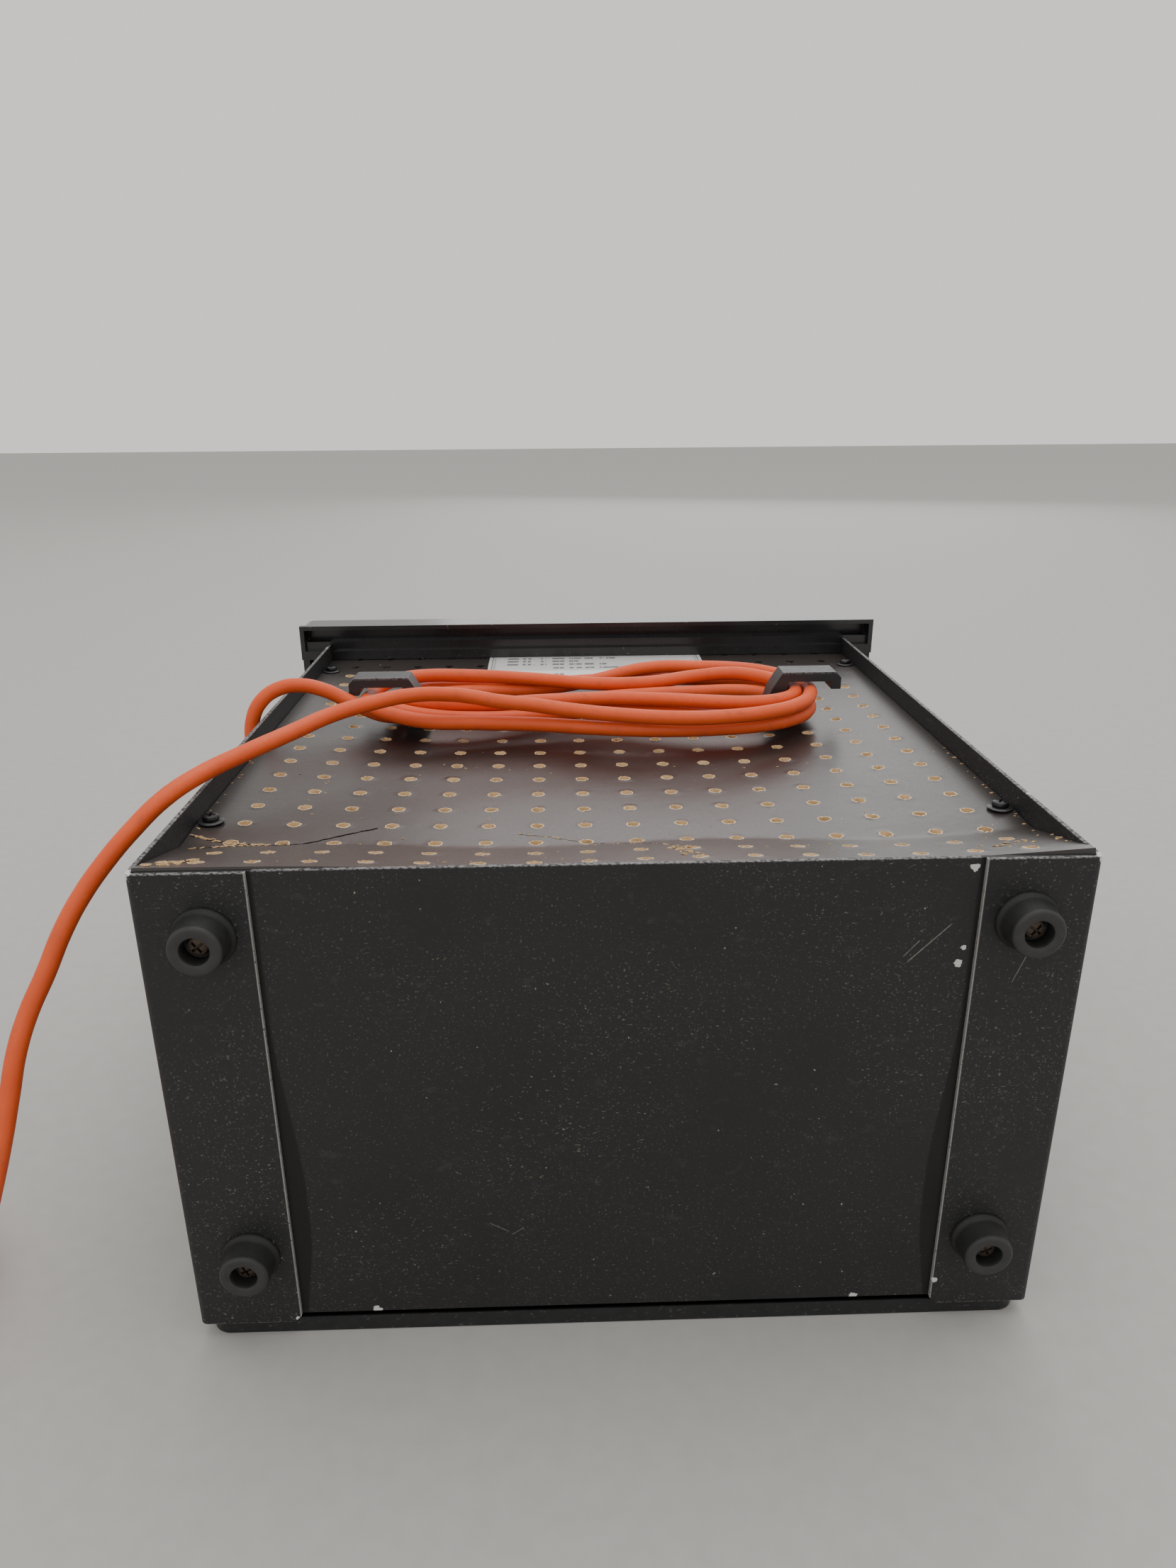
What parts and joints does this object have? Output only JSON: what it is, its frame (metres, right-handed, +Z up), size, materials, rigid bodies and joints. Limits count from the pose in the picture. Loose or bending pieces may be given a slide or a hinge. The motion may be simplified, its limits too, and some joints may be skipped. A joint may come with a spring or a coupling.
{
  "type": "portable audio unit",
  "caption": "Portable mains audio unit with a steel case, loudspeaker grille, cassette deck and orange cord wound on rear hooks, lying on its front.",
  "frame": {"origin": "middle of the footprint of the unit as it lies on its front, on the surface it lies on; the free cord is left out", "axes": "+X across the case to its right as seen from behind, +Y from the rubber feet to the moulded top, +Z up, from the grille to the hardboard back"},
  "size_m": [0.5495, 0.3852, 0.2166],
  "materials": {
    "coated_steel": "black textured stoved coating, worn at its edges",
    "hardboard": "black-faced perforated hardboard with raw tan hole walls",
    "softwood": "plain softwood batten",
    "black_washer": "black",
    "black_screw": "black pan head",
    "foot_rubber": "matt black rubber",
    "plated_screw": "zinc plated",
    "hook_plastic": "charcoal moulded plastic",
    "label_foil": "pale metal foil with plain bars",
    "grille_steel": "black punched steel",
    "baffle_ply": "particle board",
    "basket_steel": "pressed steel",
    "cone_paper": "paper pulp cone",
    "surround_rubber": "half-roll rubber",
    "magnet_ferrite": "ferrite ring with steel plates",
    "moulding_plastic": "black satin ABS",
    "panel_plastic": "dark grey",
    "well_plastic": "black",
    "lid_plastic": "dark grey",
    "lid_window_clear": "smoked clear plastic",
    "pin_steel": "ground steel",
    "key_red": "red",
    "key_grey": "grey",
    "spindle_plastic": "ivory",
    "motor_steel": "plated can",
    "knob_plastic": "black fluted",
    "pot_steel": "plated",
    "switch_plastic": "black",
    "rocker_red": "red",
    "lamp_amber": "amber lens",
    "socket_plastic": "black with ring nut",
    "fuse_plastic": "black",
    "core_steel": "varnished laminations",
    "coil_tape": "taped winding",
    "board_green": "printed circuit board",
    "sink_aluminium": "extruded",
    "capacitor_sleeve": "blue sleeve",
    "gland_rubber": "black moulded boot",
    "cord_orange": "orange flexible cord sheath",
    "plug_plastic": "black moulded plug",
    "pin_brass": "plated pins"
  },
  "bodies": {
    "case": {"side_panel_left": "coated_steel", "side_panel_right": "coated_steel", "bottom_plate": "coated_steel", "back_panel": "hardboard", "back_rails": "softwood", "back_washers": "black_washer", "back_screws": "black_screw", "rubber_feet": "foot_rubber", "foot_screws": "plated_screw", "hook_screws": "plated_screw", "moulding_screws": "plated_screw", "panel_screws": "plated_screw", "speaker_screws": "plated_screw", "cord_hook_left": "hook_plastic", "cord_hook_right": "hook_plastic", "rating_label": "label_foil", "front_grille": "grille_steel", "baffle_board": "baffle_ply", "speaker_basket": "basket_steel", "speaker_cone": "cone_paper", "speaker_surround": "surround_rubber", "speaker_magnet": "magnet_ferrite", "top_moulding": "moulding_plastic", "control_panel": "panel_plastic", "cassette_well": "well_plastic", "lid_hinge_pin": "pin_steel", "deck_motor": "motor_steel", "potentiometers": "pot_steel", "switch_bezel": "switch_plastic", "power_lamp": "lamp_amber", "jack_sockets": "socket_plastic", "fuse_holder": "fuse_plastic", "transformer_core": "core_steel", "transformer_coil": "coil_tape", "amplifier_board": "board_green", "heat_sink": "sink_aluminium", "capacitors": "capacitor_sleeve", "strain_relief": "gland_rubber", "cord_lead": "cord_orange", "cord_hank": "cord_orange", "cord_run": "cord_orange", "cord_coil": "cord_orange", "cord_tail": "cord_orange", "plug_body": "plug_plastic", "plug_pins": "pin_brass"},
    "lid": {"cassette_lid": "lid_plastic", "lid_window": "lid_window_clear"},
    "supply_spindle": {"supply_spindle": "spindle_plastic"},
    "takeup_spindle": {"takeup_spindle": "spindle_plastic"},
    "rocker": {"switch_rocker": "rocker_red"},
    "key_record": {"key_record": "key_red"},
    "key_play": {"key_play": "key_grey"},
    "key_rewind": {"key_rewind": "key_grey"},
    "key_forward": {"key_forward": "key_grey"},
    "key_stop": {"key_stop": "key_grey"},
    "key_pause": {"key_pause": "key_grey"},
    "knob_volume": {"knob_volume": "knob_plastic"},
    "knob_bass": {"knob_bass": "knob_plastic"},
    "knob_treble": {"knob_treble": "knob_plastic"},
    "knob_microphone": {"knob_microphone": "knob_plastic"}
  },
  "joints": [
    {"name": "lid_hinge", "type": "hinge", "parent": "case", "child": "lid", "pos_m": [-0.075, 0.1727, 0.162], "axis": [1, 0, 0], "range_deg": [0, 60]},
    {"name": "press_record", "type": "slide", "parent": "case", "child": "key_record", "axis": [0, -1, 0], "range_m": [0, 0.0045], "stiffness_N_per_m": 300, "springref_m": -0.003},
    {"name": "press_play", "type": "slide", "parent": "case", "child": "key_play", "axis": [0, -1, 0], "range_m": [0, 0.0045], "stiffness_N_per_m": 300, "springref_m": -0.003},
    {"name": "press_rewind", "type": "slide", "parent": "case", "child": "key_rewind", "axis": [0, -1, 0], "range_m": [0, 0.0045], "stiffness_N_per_m": 300, "springref_m": -0.003},
    {"name": "press_forward", "type": "slide", "parent": "case", "child": "key_forward", "axis": [0, -1, 0], "range_m": [0, 0.0045], "stiffness_N_per_m": 300, "springref_m": -0.003},
    {"name": "press_stop", "type": "slide", "parent": "case", "child": "key_stop", "axis": [0, -1, 0], "range_m": [0, 0.0045], "stiffness_N_per_m": 300, "springref_m": -0.003},
    {"name": "press_pause", "type": "slide", "parent": "case", "child": "key_pause", "axis": [0, -1, 0], "range_m": [0, 0.0045], "stiffness_N_per_m": 300, "springref_m": -0.003},
    {"name": "supply_spin", "type": "hinge", "parent": "case", "child": "supply_spindle", "pos_m": [-0.09625, 0.1575, 0.123], "axis": [0, 1, 0], "continuous": true},
    {"name": "takeup_spin", "type": "hinge", "parent": "case", "child": "takeup_spindle", "pos_m": [-0.05375, 0.1575, 0.123], "axis": [0, 1, 0], "continuous": true},
    {"name": "turn_volume", "type": "hinge", "parent": "case", "child": "knob_volume", "pos_m": [0.028, 0.1725, 0.137], "axis": [0, 1, 0], "range_deg": [-150, 150]},
    {"name": "turn_bass", "type": "hinge", "parent": "case", "child": "knob_bass", "pos_m": [0.062, 0.1725, 0.137], "axis": [0, 1, 0], "range_deg": [-150, 150]},
    {"name": "turn_treble", "type": "hinge", "parent": "case", "child": "knob_treble", "pos_m": [0.096, 0.1725, 0.137], "axis": [0, 1, 0], "range_deg": [-150, 150]},
    {"name": "turn_microphone", "type": "hinge", "parent": "case", "child": "knob_microphone", "pos_m": [0.13, 0.1725, 0.137], "axis": [0, 1, 0], "range_deg": [-150, 150]},
    {"name": "power_rock", "type": "hinge", "parent": "case", "child": "rocker", "pos_m": [0.122, 0.1715, 0.047], "axis": [0, 0, 1], "range_deg": [0, 16]}
  ]
}
